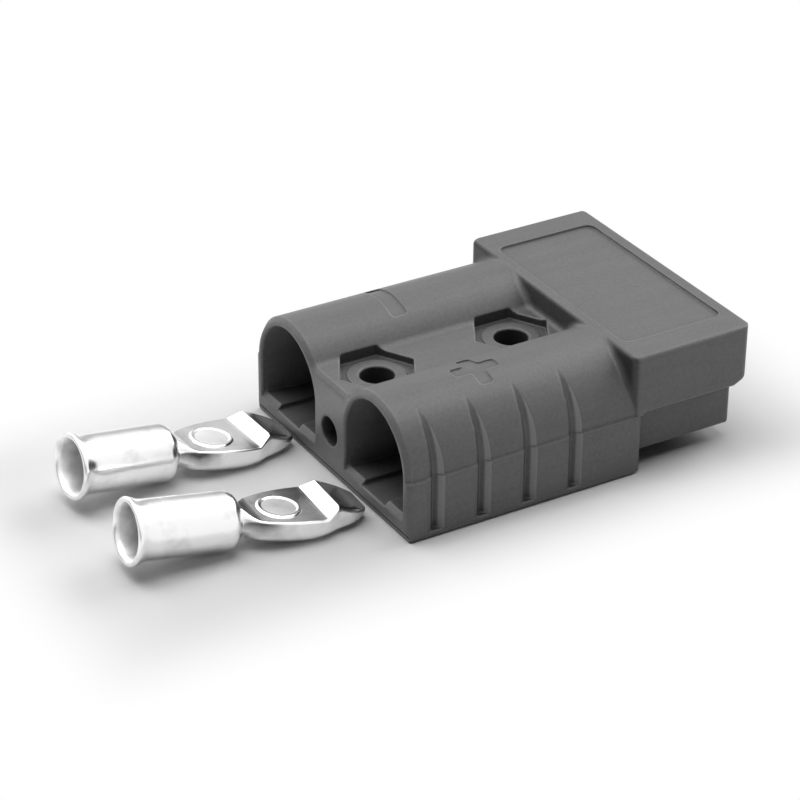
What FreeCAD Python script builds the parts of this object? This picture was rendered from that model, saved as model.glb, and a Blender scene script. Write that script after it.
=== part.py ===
"""Two-pole genderless power connector with its two crimp contacts and their leaf springs.

Two equal housings mate when one of them is turned over about its length.
Lengths are in millimetres.
The drawing starts at the rear face: X runs to the mating end, Z up from the base plane.
The finished solids are moved so that the origin lies midway between the mounting holes.
"""
import FreeCAD
import Part

import math
import os

from FreeCAD import Vector

X_AXIS = Vector(1, 0, 0)
Y_AXIS = Vector(0, 1, 0)
Z_AXIS = Vector(0, 0, 1)

# How far a cutter runs past the surface that it opens, and a joined block into its neighbour
OVERRUN = 1.0

# Housing envelope
LENGTH = 47.6
WIDTH = 36.5
HEIGHT = 15.8
MATING_Z = HEIGHT / 2
HALF_WIDTH = WIDTH / 2
FLOOR_SPAN = 32.35
HOOD_REAR = 30.75
HOOD_BOTTOM = 8.25

# Arched top over each cable channel
ARCH_RADIUS = 7.8
PARTING_LEDGE = 0.25
ARCH_Y = HALF_WIDTH - PARTING_LEDGE - ARCH_RADIUS
WEB_TOP = 12.55

# Edge rounding of the moulding
REAR_CHAMFER = 0.6
BASE_CHAMFER = 0.3
SIDE_ROUND = 0.8
HOOD_ROUND = 0.6
HOOD_REAR_ROUND = 1.1
CREASE_ROUND = 1.6
VALLEY_ROUND = 0.9
REAR_FOOT_RISE = 1.5
REAR_FOOT_SETBACK = 0.35
HOOD_CUT_LENGTH = 2.1
HOOD_CUT_RISE = 1.0

# Cable channels
MOUTH_CHAMFER = 0.2
CHANNEL_RADIUS = 6.65
CHANNEL_INNER_RADIUS = 6.05
LEAD_IN = 4.0
CHANNEL_DEPTH = 23.5
CHANNEL_FLOOR = 3.0
MOUTH_SILL = 0.6
SLOT_WIDTH = 5.4
SLOT_FLOOR = 2.4
SLOT_END = 31.8

# Window between a channel and the mating cavity
WINDOW_WIDTH = 9.4
WINDOW_TOP = 11.0

# Mating end
HOOD_WALL = 1.6
HOOD_ROOF = 1.75
CAVITY_REAR = 33.0
MATING_CLEARANCE = 0.3
TONGUE_END = 46.7
TONGUE_DROP = 0.1
TONGUE_CORNER_LENGTH = 2.8
TONGUE_CORNER_RISE = 1.6
TONGUE_EDGE = 0.5
TROUGH_WIDTH = 9.4
TROUGH_FLOOR = 3.4
TROUGH_FRONT = 45.4
LIP_TOP = 6.2

# Mounting holes with their hexagon pockets
HOLE_XS = (6.5, 25.3)
HOLE_RADIUS = 2.1
HOLE_CHAMFER = 0.15
HEX_ACROSS_FLATS = 8.8
HEX_CORNER = 0.4
POCKET_FLOOR = 11.6
POCKET_PAD_RADIUS = 3.55
POCKET_PAD_RISE = 0.2

# Blind hole between the channel mouths
REAR_HOLE_RADIUS = 1.9
REAR_HOLE_Z = 5.9
REAR_HOLE_DEPTH = 9.0

# Grip grooves: each dips from the side and rises to a sharp crest
GROOVE_CREST_XS = (4.85, 11.15, 17.45, 23.75)
GROOVE_LENGTH = 2.4
GROOVE_RISER = 1.1
GROOVE_DEPTH = 0.7
GROOVE_MIDDLE_DEPTH = 0.2
GROOVE_FADE_DEGREES = 26.0
GROOVE_END_Z = 0.9

# Bare sunk plate on the hood roof
PLATE_REAR = 32.1
PLATE_FRONT = 46.2
PLATE_HALF_WIDTH = 14.2
PLATE_DEPTH = 0.3
PLATE_CORNER = 1.2

# Leaf springs under the contacts
SPRING_THICKNESS = 0.5
SPRING_SIDE_PLAY = 0.2
SPRING_HOOK_X = 12.0
SPRING_HOOK_DEPTH = 1.1
SPRING_HOOK_PLAY = 0.2
SPRING_RAMP_X = 28.0
SPRING_CREST_REAR = 35.8
SPRING_CREST_FRONT = 39.5
SPRING_CREST_Z = 4.75
SPRING_LANDING_X = 43.4
SPRING_TIP_X = 44.5
SPRING_TIP_RISE = 0.5

# Crimp contact: its own drawing starts at the mouth and runs along X
MOUTH_RADIUS = 4.05
LIP_CHAMFER = 0.25
LIP_WIDTH = 0.75
BARREL_RADIUS = 3.55
WIRE_BORE_RADIUS = 2.95
WIRE_BORE_DEPTH = 12.0
FLARE_END = 2.1
SHOULDER_START = 12.0
SHOULDER_STEPS = 3
NECK_X = 13.7
NECK_WIDTH = 3.6
NECK_ROUND = 1.2
PAD_REAR = 15.8
PAD_REAR_WIDTH = 6.2
PAD_MIDDLE_WIDTH = 7.9
PAD_TOP = 1.0
PAD_ROUND = 0.3
BLADE_WIDTH = 8.5
BEND_X = 23.5
RIDGE_X = 25.1
RIDGE_WIDTH = 7.2
RIDGE_TOP = 2.15
RIDGE_ROUND = 0.7
BELLY_Z = -2.0
BELLY_FRONT = 22.0
BELLY_ROUND = 1.4
NOSE_X = 29.4
NOSE_WIDTH = 3.8
NOSE_TOP = 0.75
NOSE_BOTTOM = 0.0
NOSE_ROUND = 0.3
NOSE_STEPS = 3
CORNER_STEPS = 2
NOSE_TAPER_POWER = 3

# Where each loose contact lies behind the housing: x of its mouth, the mouth's distance from
# the pole's middle plane towards +Y, and its heading in degrees
NEAR_CONTACT = (-30.3, 3.0, -3.4)
FAR_CONTACT = (-29.7, -1.4, 2.2)


def box(x0, x1, y0, y1, z0, z1):
    """Block between two opposite corners."""
    return Part.makeBox(x1 - x0, y1 - y0, z1 - z0, Vector(x0, y0, z0))


def round_edges(solid, radius, wanted):
    """Fillet the edges whose middle point the test picks."""
    edges = [edge for edge in solid.Edges if wanted(middle(edge), edge)]
    return solid.makeFillet(radius, edges)


def chamfer_edges(solid, size, wanted):
    """Chamfer the edges whose middle point the test picks."""
    edges = [edge for edge in solid.Edges if wanted(middle(edge), edge)]
    return solid.makeChamfer(size, edges)


def middle(edge):
    """Point halfway along an edge."""
    return edge.valueAt((edge.FirstParameter + edge.LastParameter) / 2)


def near(value, target):
    """True when two lengths agree within a hundredth."""
    return abs(value - target) < 0.01


def runs_along(edge, axis):
    """True for a straight edge that is parallel to the axis."""
    straight = edge.Curve.TypeId == "Part::GeomLine"
    return straight and near(abs(edge.tangentAt(edge.FirstParameter).dot(axis)), 1)


def arch_outline(radius, base_z, x):
    """Closed wire in a plane across the length: an arch on straight legs."""
    left = Vector(x, ARCH_Y - radius, MATING_Z)
    right = Vector(x, ARCH_Y + radius, MATING_Z)
    left_foot = Vector(x, left.y, base_z)
    right_foot = Vector(x, right.y, base_z)
    crest = Vector(x, ARCH_Y, MATING_Z + radius)
    return Part.Wire([
        Part.makeLine(left_foot, left),
        Part.Arc(left, crest, right).toShape(),
        Part.makeLine(right, right_foot),
        Part.makeLine(right_foot, left_foot),
    ])


def mirror_to_other_pole(shape):
    """The same shape at the other side of the middle plane."""
    return shape.mirror(Vector(0, 0, 0), Y_AXIS)


def both_poles(shape):
    """A shape and its mirror image."""
    return [shape, mirror_to_other_pole(shape)]


def lower_body():
    """Block below the mating plane, behind the shoulder."""
    block = box(0, FLOOR_SPAN, -HALF_WIDTH, HALF_WIDTH, 0, MATING_Z)
    block = round_edges(block, SIDE_ROUND, lambda p, e: runs_along(e, Z_AXIS))
    block = chamfer_edges(block, BASE_CHAMFER, lambda p, e: near(p.z, 0))
    foot = prism_across([
        (-OVERRUN, -OVERRUN),
        (-OVERRUN, REAR_FOOT_RISE),
        (0, REAR_FOOT_RISE),
        (REAR_FOOT_SETBACK, 0),
        (REAR_FOOT_SETBACK, -OVERRUN),
    ])
    return block.cut(foot)


def upper_body():
    """Two arches joined by the web, with soft creases between them and a chamfered rim."""
    outer = Vector(0, ARCH_Y + ARCH_RADIUS, MATING_Z)
    crest = Vector(0, ARCH_Y, MATING_Z + ARCH_RADIUS)
    web_rise = WEB_TOP - MATING_Z
    crease = Vector(0, ARCH_Y - math.sqrt(ARCH_RADIUS ** 2 - web_rise ** 2), WEB_TOP)
    arch = Part.Arc(outer, crest, crease).toShape()
    other_arch = mirror_to_other_pole(arch)
    section = Part.Wire(Part.__sortEdges__([
        arch,
        Part.makeLine(crease, Vector(0, -crease.y, WEB_TOP)),
        other_arch,
        Part.makeLine(Vector(0, -outer.y, MATING_Z), outer),
    ]))
    prism = Part.Face(section).extrude(X_AXIS * CAVITY_REAR)
    prism = round_edges(prism, CREASE_ROUND, lambda p, e: near(abs(p.y), crease.y) and runs_along(e, X_AXIS))
    return chamfer_edges(prism, REAR_CHAMFER, lambda p, e: near(p.x, 0) and not near(p.z, MATING_Z))


def prism_across(points):
    """Solid of a side-view outline, drawn in X and Z, that runs across the whole width."""
    corners = [Vector(x, -WIDTH, z) for x, z in points]
    return Part.Face(Part.makePolygon(corners + corners[:1])).extrude(Y_AXIS * 2 * WIDTH)


def hood():
    """Block over the mating end, with its rear and roof edges rounded."""
    block = box(HOOD_REAR, LENGTH, -HALF_WIDTH, HALF_WIDTH, MATING_Z, HEIGHT)
    block = round_edges(block, HOOD_REAR_ROUND, lambda p, e: near(p.x, HOOD_REAR) and runs_along(e, Z_AXIS))
    block = round_edges(block, HOOD_ROUND, lambda p, e: near(p.z, HEIGHT) and not near(p.x, LENGTH))
    below = prism_across([
        (FLOOR_SPAN, MATING_Z - OVERRUN),
        (FLOOR_SPAN, HOOD_BOTTOM),
        (LENGTH - HOOD_CUT_LENGTH, HOOD_BOTTOM),
        (LENGTH, HOOD_BOTTOM + HOOD_CUT_RISE),
        (LENGTH + OVERRUN, HOOD_BOTTOM + HOOD_CUT_RISE),
        (LENGTH + OVERRUN, MATING_Z - OVERRUN),
    ])
    return block.cut(below)


def is_valley_corner(point, edge):
    """The inner corners where the arches and the web run into the hood."""
    roof_round = near(point.z, HEIGHT - HOOD_ROUND)
    return near(point.x, HOOD_REAR) and HOOD_BOTTOM < point.z < HEIGHT - HOOD_ROUND and not roof_round


def tongue():
    """Block below the mating plane that enters the other housing's cavity."""
    half = HALF_WIDTH - HOOD_WALL - MATING_CLEARANCE
    floor_z = HOOD_ROOF + MATING_CLEARANCE
    top_z = MATING_Z - TONGUE_DROP
    block = box(FLOOR_SPAN - OVERRUN, TONGUE_END, -half, half, floor_z, top_z)
    block = round_edges(block, TONGUE_EDGE, lambda p, e: runs_along(e, Z_AXIS) and near(p.x, TONGUE_END))
    corner = prism_across([
        (TONGUE_END - TONGUE_CORNER_LENGTH, floor_z - OVERRUN),
        (TONGUE_END - TONGUE_CORNER_LENGTH, floor_z),
        (TONGUE_END, floor_z + TONGUE_CORNER_RISE),
        (TONGUE_END + OVERRUN, floor_z + TONGUE_CORNER_RISE),
        (TONGUE_END + OVERRUN, floor_z - OVERRUN),
    ])
    return block.cut(corner)


def mating_cavity():
    """Space inside the hood for the other housing's tongue."""
    half = HALF_WIDTH - HOOD_WALL
    return box(CAVITY_REAR, LENGTH + OVERRUN, -half, half, MATING_Z - TONGUE_DROP, HEIGHT - HOOD_ROOF)


def channel():
    """Cable channel with its lead-in, window, spring slot and contact trough."""
    rim = arch_outline(CHANNEL_RADIUS + MOUTH_CHAMFER, CHANNEL_FLOOR, 0)
    mouth = arch_outline(CHANNEL_RADIUS, CHANNEL_FLOOR, MOUTH_CHAMFER)
    throat = arch_outline(CHANNEL_INNER_RADIUS, CHANNEL_FLOOR, LEAD_IN)
    lead_in = Part.makeLoft([rim, mouth, throat], True, True)
    bore = Part.Face(throat).extrude(X_AXIS * (CHANNEL_DEPTH - LEAD_IN))
    outside = Part.Face(rim).extrude(X_AXIS * -OVERRUN)
    sill = prism_across([
        (-OVERRUN, CHANNEL_FLOOR - MOUTH_SILL),
        (0, CHANNEL_FLOOR - MOUTH_SILL),
        (MOUTH_SILL, CHANNEL_FLOOR),
        (MOUTH_SILL, CHANNEL_FLOOR + OVERRUN),
        (-OVERRUN, CHANNEL_FLOOR + OVERRUN),
    ])
    sill = sill.common(pole_box(-OVERRUN, LEAD_IN, 2 * CHANNEL_RADIUS, 0, HEIGHT))
    window = pole_box(CHANNEL_DEPTH - OVERRUN, CAVITY_REAR + OVERRUN, WINDOW_WIDTH, CHANNEL_FLOOR, WINDOW_TOP)
    slot = pole_box(-OVERRUN, SLOT_END, SLOT_WIDTH, SLOT_FLOOR, CHANNEL_FLOOR + OVERRUN)
    above = MATING_Z + OVERRUN
    trough = pole_box(CAVITY_REAR - OVERRUN, TROUGH_FRONT, TROUGH_WIDTH, TROUGH_FLOOR, above)
    lip_gap = pole_box(TROUGH_FRONT - OVERRUN, TONGUE_END + OVERRUN, TROUGH_WIDTH, LIP_TOP, above)
    return lead_in.fuse([outside, bore, sill, window, slot, trough, lip_gap])


def pole_box(x0, x1, width, z0, z1):
    """Block centred on one pole."""
    return box(x0, x1, ARCH_Y - width / 2, ARCH_Y + width / 2, z0, z1)


def spring_hook_pocket():
    """Pocket in the slot floor that holds the hooked end of a spring."""
    rear = SPRING_HOOK_X - SPRING_THICKNESS - SPRING_HOOK_PLAY
    front = SPRING_HOOK_X + SPRING_HOOK_PLAY
    bottom = SLOT_FLOOR - SPRING_HOOK_DEPTH - SPRING_HOOK_PLAY
    return pole_box(rear, front, SLOT_WIDTH, bottom, SLOT_FLOOR + OVERRUN)


def grooves():
    """Cutters for the grip grooves on one side, fading out towards the crest."""
    fade = math.sin(math.radians(GROOVE_FADE_DEGREES))
    flatness = 2 * (ARCH_RADIUS * (1 - fade) - GROOVE_DEPTH)
    inset = GROOVE_DEPTH * (2 * ARCH_RADIUS - GROOVE_DEPTH) / flatness
    axis_point = Vector(0, ARCH_Y - inset, MATING_Z)
    side = ARCH_Y + ARCH_RADIUS
    cutters = []
    for crest_x in GROOVE_CREST_XS:
        upper = groove_section(crest_x, side, GROOVE_DEPTH)
        cutters.append(upper.revolve(axis_point, X_AXIS, 90))
        lower = groove_section(crest_x, HALF_WIDTH, GROOVE_DEPTH + PARTING_LEDGE)
        cutters.append(lower.extrude(Z_AXIS * (GROOVE_END_Z - MATING_Z)))
    return cutters


def groove_section(crest_x, side, depth):
    """Plan of one groove: a dip that grows steeper, then a straight rise to the crest."""
    start_x = crest_x - GROOVE_LENGTH
    bottom_x = crest_x - GROOVE_RISER
    outline = (
        (start_x, side),
        ((start_x + bottom_x) / 2, side - GROOVE_MIDDLE_DEPTH),
        (bottom_x, side - depth),
        (crest_x, side),
        (crest_x, side + OVERRUN),
        (start_x, side + OVERRUN),
    )
    corners = [Vector(x, y, MATING_Z) for x, y in outline]
    return Part.Face(Part.makePolygon(corners + corners[:1]))


def hexagon_pocket(x):
    """Nut pocket and screw hole around an upright axis in the web."""
    corner_radius = HEX_ACROSS_FLATS / math.sqrt(3)
    corners = []
    for step in range(7):
        angle = math.radians(60 * step)
        corner = Vector(math.cos(angle), math.sin(angle), 0) * corner_radius
        corners.append(corner + Vector(x, 0, POCKET_FLOOR))
    pocket = Part.Face(Part.makePolygon(corners)).extrude(Z_AXIS * (HEIGHT - POCKET_FLOOR))
    pocket = round_edges(pocket, HEX_CORNER, lambda p, e: runs_along(e, Z_AXIS))
    pad = Part.makeCylinder(POCKET_PAD_RADIUS, POCKET_PAD_RISE, Vector(x, 0, POCKET_FLOOR))
    return pocket.cut(pad).fuse(screw_hole(x))


def screw_hole(x):
    """Round through hole with a small chamfer at its upper end."""
    top = POCKET_FLOOR + POCKET_PAD_RISE
    hole = Part.makeCylinder(HOLE_RADIUS, HEIGHT, Vector(x, 0, -OVERRUN))
    wide = HOLE_RADIUS + HOLE_CHAMFER
    chamfer = Part.makeCone(HOLE_RADIUS, wide, HOLE_CHAMFER, Vector(x, 0, top - HOLE_CHAMFER))
    return hole.fuse(chamfer)


def rear_hole():
    """Blind hole between the channel mouths."""
    start = Vector(-OVERRUN, 0, REAR_HOLE_Z)
    return Part.makeCylinder(REAR_HOLE_RADIUS, REAR_HOLE_DEPTH + OVERRUN, start, X_AXIS)


def roof_plate():
    """Shallow recess with rounded corners in the hood roof."""
    floor_z = HEIGHT - PLATE_DEPTH
    recess = box(PLATE_REAR, PLATE_FRONT, -PLATE_HALF_WIDTH, PLATE_HALF_WIDTH, floor_z, HEIGHT + OVERRUN)
    return round_edges(recess, PLATE_CORNER, lambda p, e: runs_along(e, Z_AXIS))


def housing():
    """One-piece moulding."""
    body = upper_body().fuse([lower_body(), hood()]).removeSplitter()
    body = round_edges(body, VALLEY_ROUND, is_valley_corner)
    body = body.fuse(tongue()).removeSplitter()
    cutters = [mating_cavity(), rear_hole(), roof_plate()]
    cutters += both_poles(channel())
    cutters += both_poles(spring_hook_pocket())
    for cutter in grooves():
        cutters += both_poles(cutter)
    cutters += [hexagon_pocket(x) for x in HOLE_XS]
    return body.cut(cutters)


def leaf_spring():
    """Hooked, bowed strip that lies in the slot of one pole."""
    width = SLOT_WIDTH - 2 * SPRING_SIDE_PLAY
    path = Part.makePolygon([Vector(x, ARCH_Y - width / 2, z) for x, z in (
        (SPRING_HOOK_X, SLOT_FLOOR - SPRING_HOOK_DEPTH),
        (SPRING_HOOK_X, SLOT_FLOOR),
        (SPRING_RAMP_X, SLOT_FLOOR),
        (SPRING_CREST_REAR, SPRING_CREST_Z),
        (SPRING_CREST_FRONT, SPRING_CREST_Z),
        (SPRING_LANDING_X, TROUGH_FLOOR),
        (SPRING_TIP_X, TROUGH_FLOOR + SPRING_TIP_RISE),
    )])
    strip = path.makeOffset2D(SPRING_THICKNESS, 0, True, True)
    return strip.extrude(Y_AXIS * width)


def barrel():
    """Turned crimp barrel with its flared mouth, wire bore and rounded shoulder."""
    neck_radius = NECK_WIDTH / 2
    shoulder_round = BARREL_RADIUS - neck_radius
    outline = [
        (0, MOUTH_RADIUS - LIP_CHAMFER),
        (LIP_CHAMFER, MOUTH_RADIUS),
        (FLARE_END, BARREL_RADIUS),
    ]
    for step in range(SHOULDER_STEPS + 1):
        turn = math.radians(90 * step / SHOULDER_STEPS)
        x = SHOULDER_START + shoulder_round * math.sin(turn)
        outline.append((x, neck_radius + shoulder_round * math.cos(turn)))
    outline += [
        (SHOULDER_START + shoulder_round, 0),
        (WIRE_BORE_DEPTH, 0),
        (WIRE_BORE_DEPTH, WIRE_BORE_RADIUS),
        (FLARE_END, WIRE_BORE_RADIUS),
        (0, MOUTH_RADIUS - LIP_WIDTH),
    ]
    corners = [Vector(x, 0, radius) for x, radius in outline]
    return Part.Face(Part.makePolygon(corners + corners[:1])).revolve(Vector(0, 0, 0), X_AXIS, 360)


def blade_section(x, width, bottom, top, lower_round, upper_round):
    """Rectangle across the blade, with its corners rounded in straight steps."""
    corners = (
        (1, 1, top, upper_round),
        (-1, 1, top, upper_round),
        (-1, -1, bottom, lower_round),
        (1, -1, bottom, lower_round),
    )
    points = []
    for quadrant, (out_y, out_z, z, radius) in enumerate(corners):
        centre = Vector(x, out_y * (width / 2 - radius), z - out_z * radius)
        for step in range(CORNER_STEPS + 1):
            turn = math.radians(90 * (quadrant + step / CORNER_STEPS))
            points.append(centre + Vector(0, math.cos(turn), math.sin(turn)) * radius)
    return Part.makePolygon(points + points[:1])


def underside(x):
    """Height of the blade's rising underside in front of the belly."""
    return BELLY_Z + (NOSE_BOTTOM - BELLY_Z) * (x - BELLY_FRONT) / (NOSE_X - BELLY_FRONT)


def blade():
    """Flattened end: neck, flat pad, ramp up to the ridge and sloping nose."""
    neck_half = NECK_WIDTH / 2
    sections = [blade_section(NECK_X, NECK_WIDTH, -neck_half, neck_half, NECK_ROUND, NECK_ROUND)]
    for x, width in (
        (PAD_REAR, PAD_REAR_WIDTH),
        ((PAD_REAR + BELLY_FRONT) / 2, PAD_MIDDLE_WIDTH),
        (BELLY_FRONT, BLADE_WIDTH),
    ):
        sections.append(blade_section(x, width, BELLY_Z, PAD_TOP, BELLY_ROUND, PAD_ROUND))
    sections.append(blade_section(BEND_X, BLADE_WIDTH, underside(BEND_X), PAD_TOP, BELLY_ROUND, PAD_ROUND))
    for step in range(NOSE_STEPS + 1):
        share = step / NOSE_STEPS
        x = RIDGE_X + (NOSE_X - RIDGE_X) * share
        width = RIDGE_WIDTH - (RIDGE_WIDTH - NOSE_WIDTH) * share ** NOSE_TAPER_POWER
        top = RIDGE_TOP + (NOSE_TOP - RIDGE_TOP) * share
        rounding = RIDGE_ROUND + (NOSE_ROUND - RIDGE_ROUND) * share
        sections.append(blade_section(x, width, underside(x), top, rounding, rounding))
    return Part.makeLoft(sections, True, True)


def contact():
    """One contact in its own drawing: crimp barrel and blade."""
    return barrel().fuse(blade()).removeSplitter()


def resting_contact(pole_y, mouth_x, mouth_y, heading):
    """A contact that lies on the base plane on its shoulder and its belly, behind one pole."""
    run = BELLY_FRONT - SHOULDER_START
    pitch = math.atan2(BARREL_RADIUS + BELLY_Z, run)
    lift = BELLY_FRONT * math.sin(pitch) - BELLY_Z * math.cos(pitch)
    solid = contact()
    solid.rotate(Vector(0, 0, 0), Y_AXIS, math.degrees(pitch))
    solid.rotate(Vector(0, 0, 0), Z_AXIS, heading)
    solid.translate(Vector(mouth_x, pole_y + mouth_y, lift))
    return solid


def main():
    """Make every solid, move it to the shared origin and write it."""
    spring = leaf_spring()
    solids = {
        "housing": housing(),
        "contact_near": resting_contact(-ARCH_Y, *NEAR_CONTACT),
        "contact_far": resting_contact(ARCH_Y, *FAR_CONTACT),
        "spring_near": mirror_to_other_pole(spring),
        "spring_far": spring,
    }
    origin = Vector(sum(HOLE_XS) / len(HOLE_XS), 0, 0)
    os.makedirs("parts", exist_ok=True)
    for name, solid in solids.items():
        solid.translate(origin * -1)
        solid.exportStep(os.path.join("parts", name + ".step"))
        print(name, round(solid.Volume, 1), "mm3")


main()
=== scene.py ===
# %% [markdown]
# A genderless power connector lies on a pale table, with its two crimp contacts behind it.
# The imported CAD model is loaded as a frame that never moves, in metres, with the mating end
# towards +X and the table at height 0. Everything below dresses that frame or stands around it.

# %% Load the frame
import math
import bmesh
import bpy
from mathutils import Matrix, Vector


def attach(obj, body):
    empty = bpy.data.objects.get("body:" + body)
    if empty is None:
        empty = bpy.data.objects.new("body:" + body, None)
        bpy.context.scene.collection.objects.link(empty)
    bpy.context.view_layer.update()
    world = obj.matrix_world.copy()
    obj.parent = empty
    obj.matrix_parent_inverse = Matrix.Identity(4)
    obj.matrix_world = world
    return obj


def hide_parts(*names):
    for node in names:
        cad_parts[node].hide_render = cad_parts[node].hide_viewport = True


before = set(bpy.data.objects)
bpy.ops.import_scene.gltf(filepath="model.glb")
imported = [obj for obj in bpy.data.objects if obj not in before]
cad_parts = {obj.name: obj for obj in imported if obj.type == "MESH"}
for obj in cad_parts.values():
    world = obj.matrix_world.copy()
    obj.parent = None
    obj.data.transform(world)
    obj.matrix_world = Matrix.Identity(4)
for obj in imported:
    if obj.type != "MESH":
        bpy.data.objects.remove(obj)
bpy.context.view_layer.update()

MM = 0.001

# %% [markdown]
# A camera can be aimed with angles, but a product picture is easier to match with directions:
# what lies to its right and what lies above it. The third column of its matrix is square to
# both and points backward, because a camera looks along its own -Z. A long lens from some
# 36 cm away gives the flat perspective of a catalogue.

# %% Camera
CAMERA_PLACE = Vector((-164.46, -263.88, 182.82)) * MM
CAMERA_RIGHT = Vector((0.85966, -0.51082, 0.00723))
CAMERA_UP = Vector((0.24759, 0.42897, 0.86873))
CAMERA_LENS = 133.5
NEAREST_SEEN = 10.0


def place_camera():
    bpy.ops.object.camera_add(location=(0, 0, 0))
    camera = bpy.context.object
    camera.name = "product_camera"
    back = CAMERA_RIGHT.cross(CAMERA_UP)
    turned = Matrix((CAMERA_RIGHT, CAMERA_UP, back)).transposed().to_4x4()
    camera.matrix_world = Matrix.Translation(CAMERA_PLACE) @ turned
    camera.data.lens = CAMERA_LENS
    camera.data.clip_start = NEAREST_SEEN * MM
    bpy.context.scene.camera = camera


place_camera()
print("camera stands", round(CAMERA_PLACE.length, 3), "m from the origin")

# %% [markdown]
# A crimp contact starts as a copper tube. One end stays round, flared at the mouth, and takes
# the stranded wire. The rest is pressed flat into a blade. It could be turned and lofted as
# two pieces, but the real one is a single skin, so here one ring of points is pulled along
# the whole contact: out of the bore, round the lip, down the barrel and over the shoulder.
# From there each quarter of the ring is moved and scaled on its own to shape the blade.

# %% Start a ring
QUARTERS = ((1, 1), (-1, 1), (-1, -1), (1, -1))
RING_POINTS = 10 * len(QUARTERS)
ALONG_X = (0, math.pi / 2, 0)


def deselect_all():
    bpy.ops.object.select_all(action="DESELECT")


def apply_transform():
    """Moves the place, turn and size of the selected object into its mesh."""
    bpy.ops.object.transform_apply(location=True, rotation=True, scale=True)


def turn_and_apply(piece, angles):
    piece.rotation_euler = angles
    apply_transform()


def edit_rim():
    """Enters edit mode with the rim of a new disc selected, ready to be pulled."""
    bpy.ops.object.mode_set(mode="EDIT")
    bpy.ops.mesh.select_all(action="SELECT")
    bpy.ops.mesh.region_to_loop()


def start_ring(name, x, radius):
    """A disc across X, turned by half a step so that no point lies between two quarters."""
    deselect_all()
    bpy.ops.mesh.primitive_circle_add(vertices=RING_POINTS, radius=radius * MM, fill_type="NGON")
    piece = bpy.context.object
    piece.name = name
    turn_and_apply(piece, ALONG_X)
    piece.location.x = x * MM
    turn_and_apply(piece, (math.pi / RING_POINTS, 0, 0))
    edit_rim()
    return piece


print("a ring has", RING_POINTS, "points in", len(QUARTERS), "quarters")

# %% [markdown]
# The barrel's profile is a short list of places along the axis with the radius there. The
# first point is the bottom of the wire bore, and the list walks out to the lip and back along
# the outside. Rings close together make a tight curve, and far apart they make a straight run.

# %% Turned barrel
BORE_RADIUS = 2.95
BARREL_RADIUS = 3.55
NECK_RADIUS = 1.8
SHOULDER_X = 11.8
SHOULDER_STEPS = 7
MOUTH_PROFILE = (
    (12.0, BORE_RADIUS),
    (2.6, BORE_RADIUS),
    (1.5, 3.0),
    (0.7, 3.14),
    (0.25, 3.32),
    (0.05, 3.5),
    (0.0, 3.66),
    (0.04, 3.84),
    (0.16, 3.98),
    (0.34, 4.04),
    (0.6, 3.98),
    (1.0, 3.8),
    (1.5, 3.64),
    (2.1, 3.56),
    (2.6, BARREL_RADIUS),
)


def pull_round(x_from, radius_from, x_to, radius_to):
    """Extrudes the selected round ring along X and scales it to a new radius."""
    step = ((x_to - x_from) * MM, 0, 0)
    bpy.ops.mesh.extrude_region_move(TRANSFORM_OT_translate={"value": step})
    scale = radius_to / radius_from
    bpy.ops.transform.resize(value=(1, scale, scale), center_override=(x_to * MM, 0, 0))


def shoulder_profile():
    """Quarter round from the barrel down to the neck."""
    drop = BARREL_RADIUS - NECK_RADIUS
    for step in range(SHOULDER_STEPS + 1):
        angle = math.pi / 2 * step / SHOULDER_STEPS
        yield SHOULDER_X + drop * math.sin(angle), NECK_RADIUS + drop * math.cos(angle)


contact = start_ring("contact_near_skin", *MOUTH_PROFILE[0])
profile = [*MOUTH_PROFILE, *shoulder_profile()]
for (x_from, radius_from), (x_to, radius_to) in zip(profile, profile[1:]):
    pull_round(x_from, radius_from, x_to, radius_to)
neck_x = profile[-1][0]
print("barrel pulled over", len(profile), "rings, to x =", round(neck_x, 2), "mm")

# %% [markdown]
# Across the blade every section is a rectangle with rounded corners. A quarter of the ring
# makes each corner, so a section is known from its width, its lower and upper height, and the
# radius of its lower and upper corners. The pad is flat on top with a crisp edge and has a
# rounded belly, the ramp lifts it to the ridge, and the nose falls away and narrows.

# %% Blade sections
BLADE = (
    # x, width, bottom, top, lower corner, upper corner
    (13.9, 3.7, -1.8, 1.7, 1.7, 1.5),
    (14.3, 4.2, -1.84, 1.45, 1.6, 1.0),
    (14.8, 4.9, -1.9, 1.2, 1.5, 0.6),
    (15.3, 5.6, -1.96, 1.05, 1.45, 0.36),
    (15.8, 6.2, -2.0, 1.0, 1.4, 0.3),
    (16.8, 6.9, -2.0, 1.0, 1.4, 0.3),
    (17.8, 7.45, -2.0, 1.0, 1.4, 0.3),
    (18.9, 7.9, -2.0, 1.0, 1.4, 0.3),
    (20.4, 8.3, -2.0, 1.0, 1.4, 0.3),
    (21.8, 8.5, -1.99, 1.0, 1.4, 0.3),
    (22.8, 8.5, -1.78, 1.0, 1.35, 0.3),
    (23.45, 8.46, -1.6, 1.0, 1.25, 0.3),
    (23.6, 8.4, -1.56, 1.08, 1.2, 0.34),
    (24.9, 7.45, -1.2, 2.06, 0.85, 0.6),
    (25.05, 7.3, -1.17, 2.13, 0.8, 0.66),
    (25.25, 7.18, -1.12, 2.11, 0.75, 0.66),
    (26.6, 6.95, -0.75, 1.66, 0.6, 0.56),
    (27.8, 6.3, -0.42, 1.27, 0.5, 0.45),
    (28.7, 5.2, -0.19, 0.97, 0.4, 0.36),
    (29.3, 4.0, -0.02, 0.78, 0.3, 0.28),
    (29.4, 3.6, 0.04, 0.7, 0.25, 0.22),
)


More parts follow.
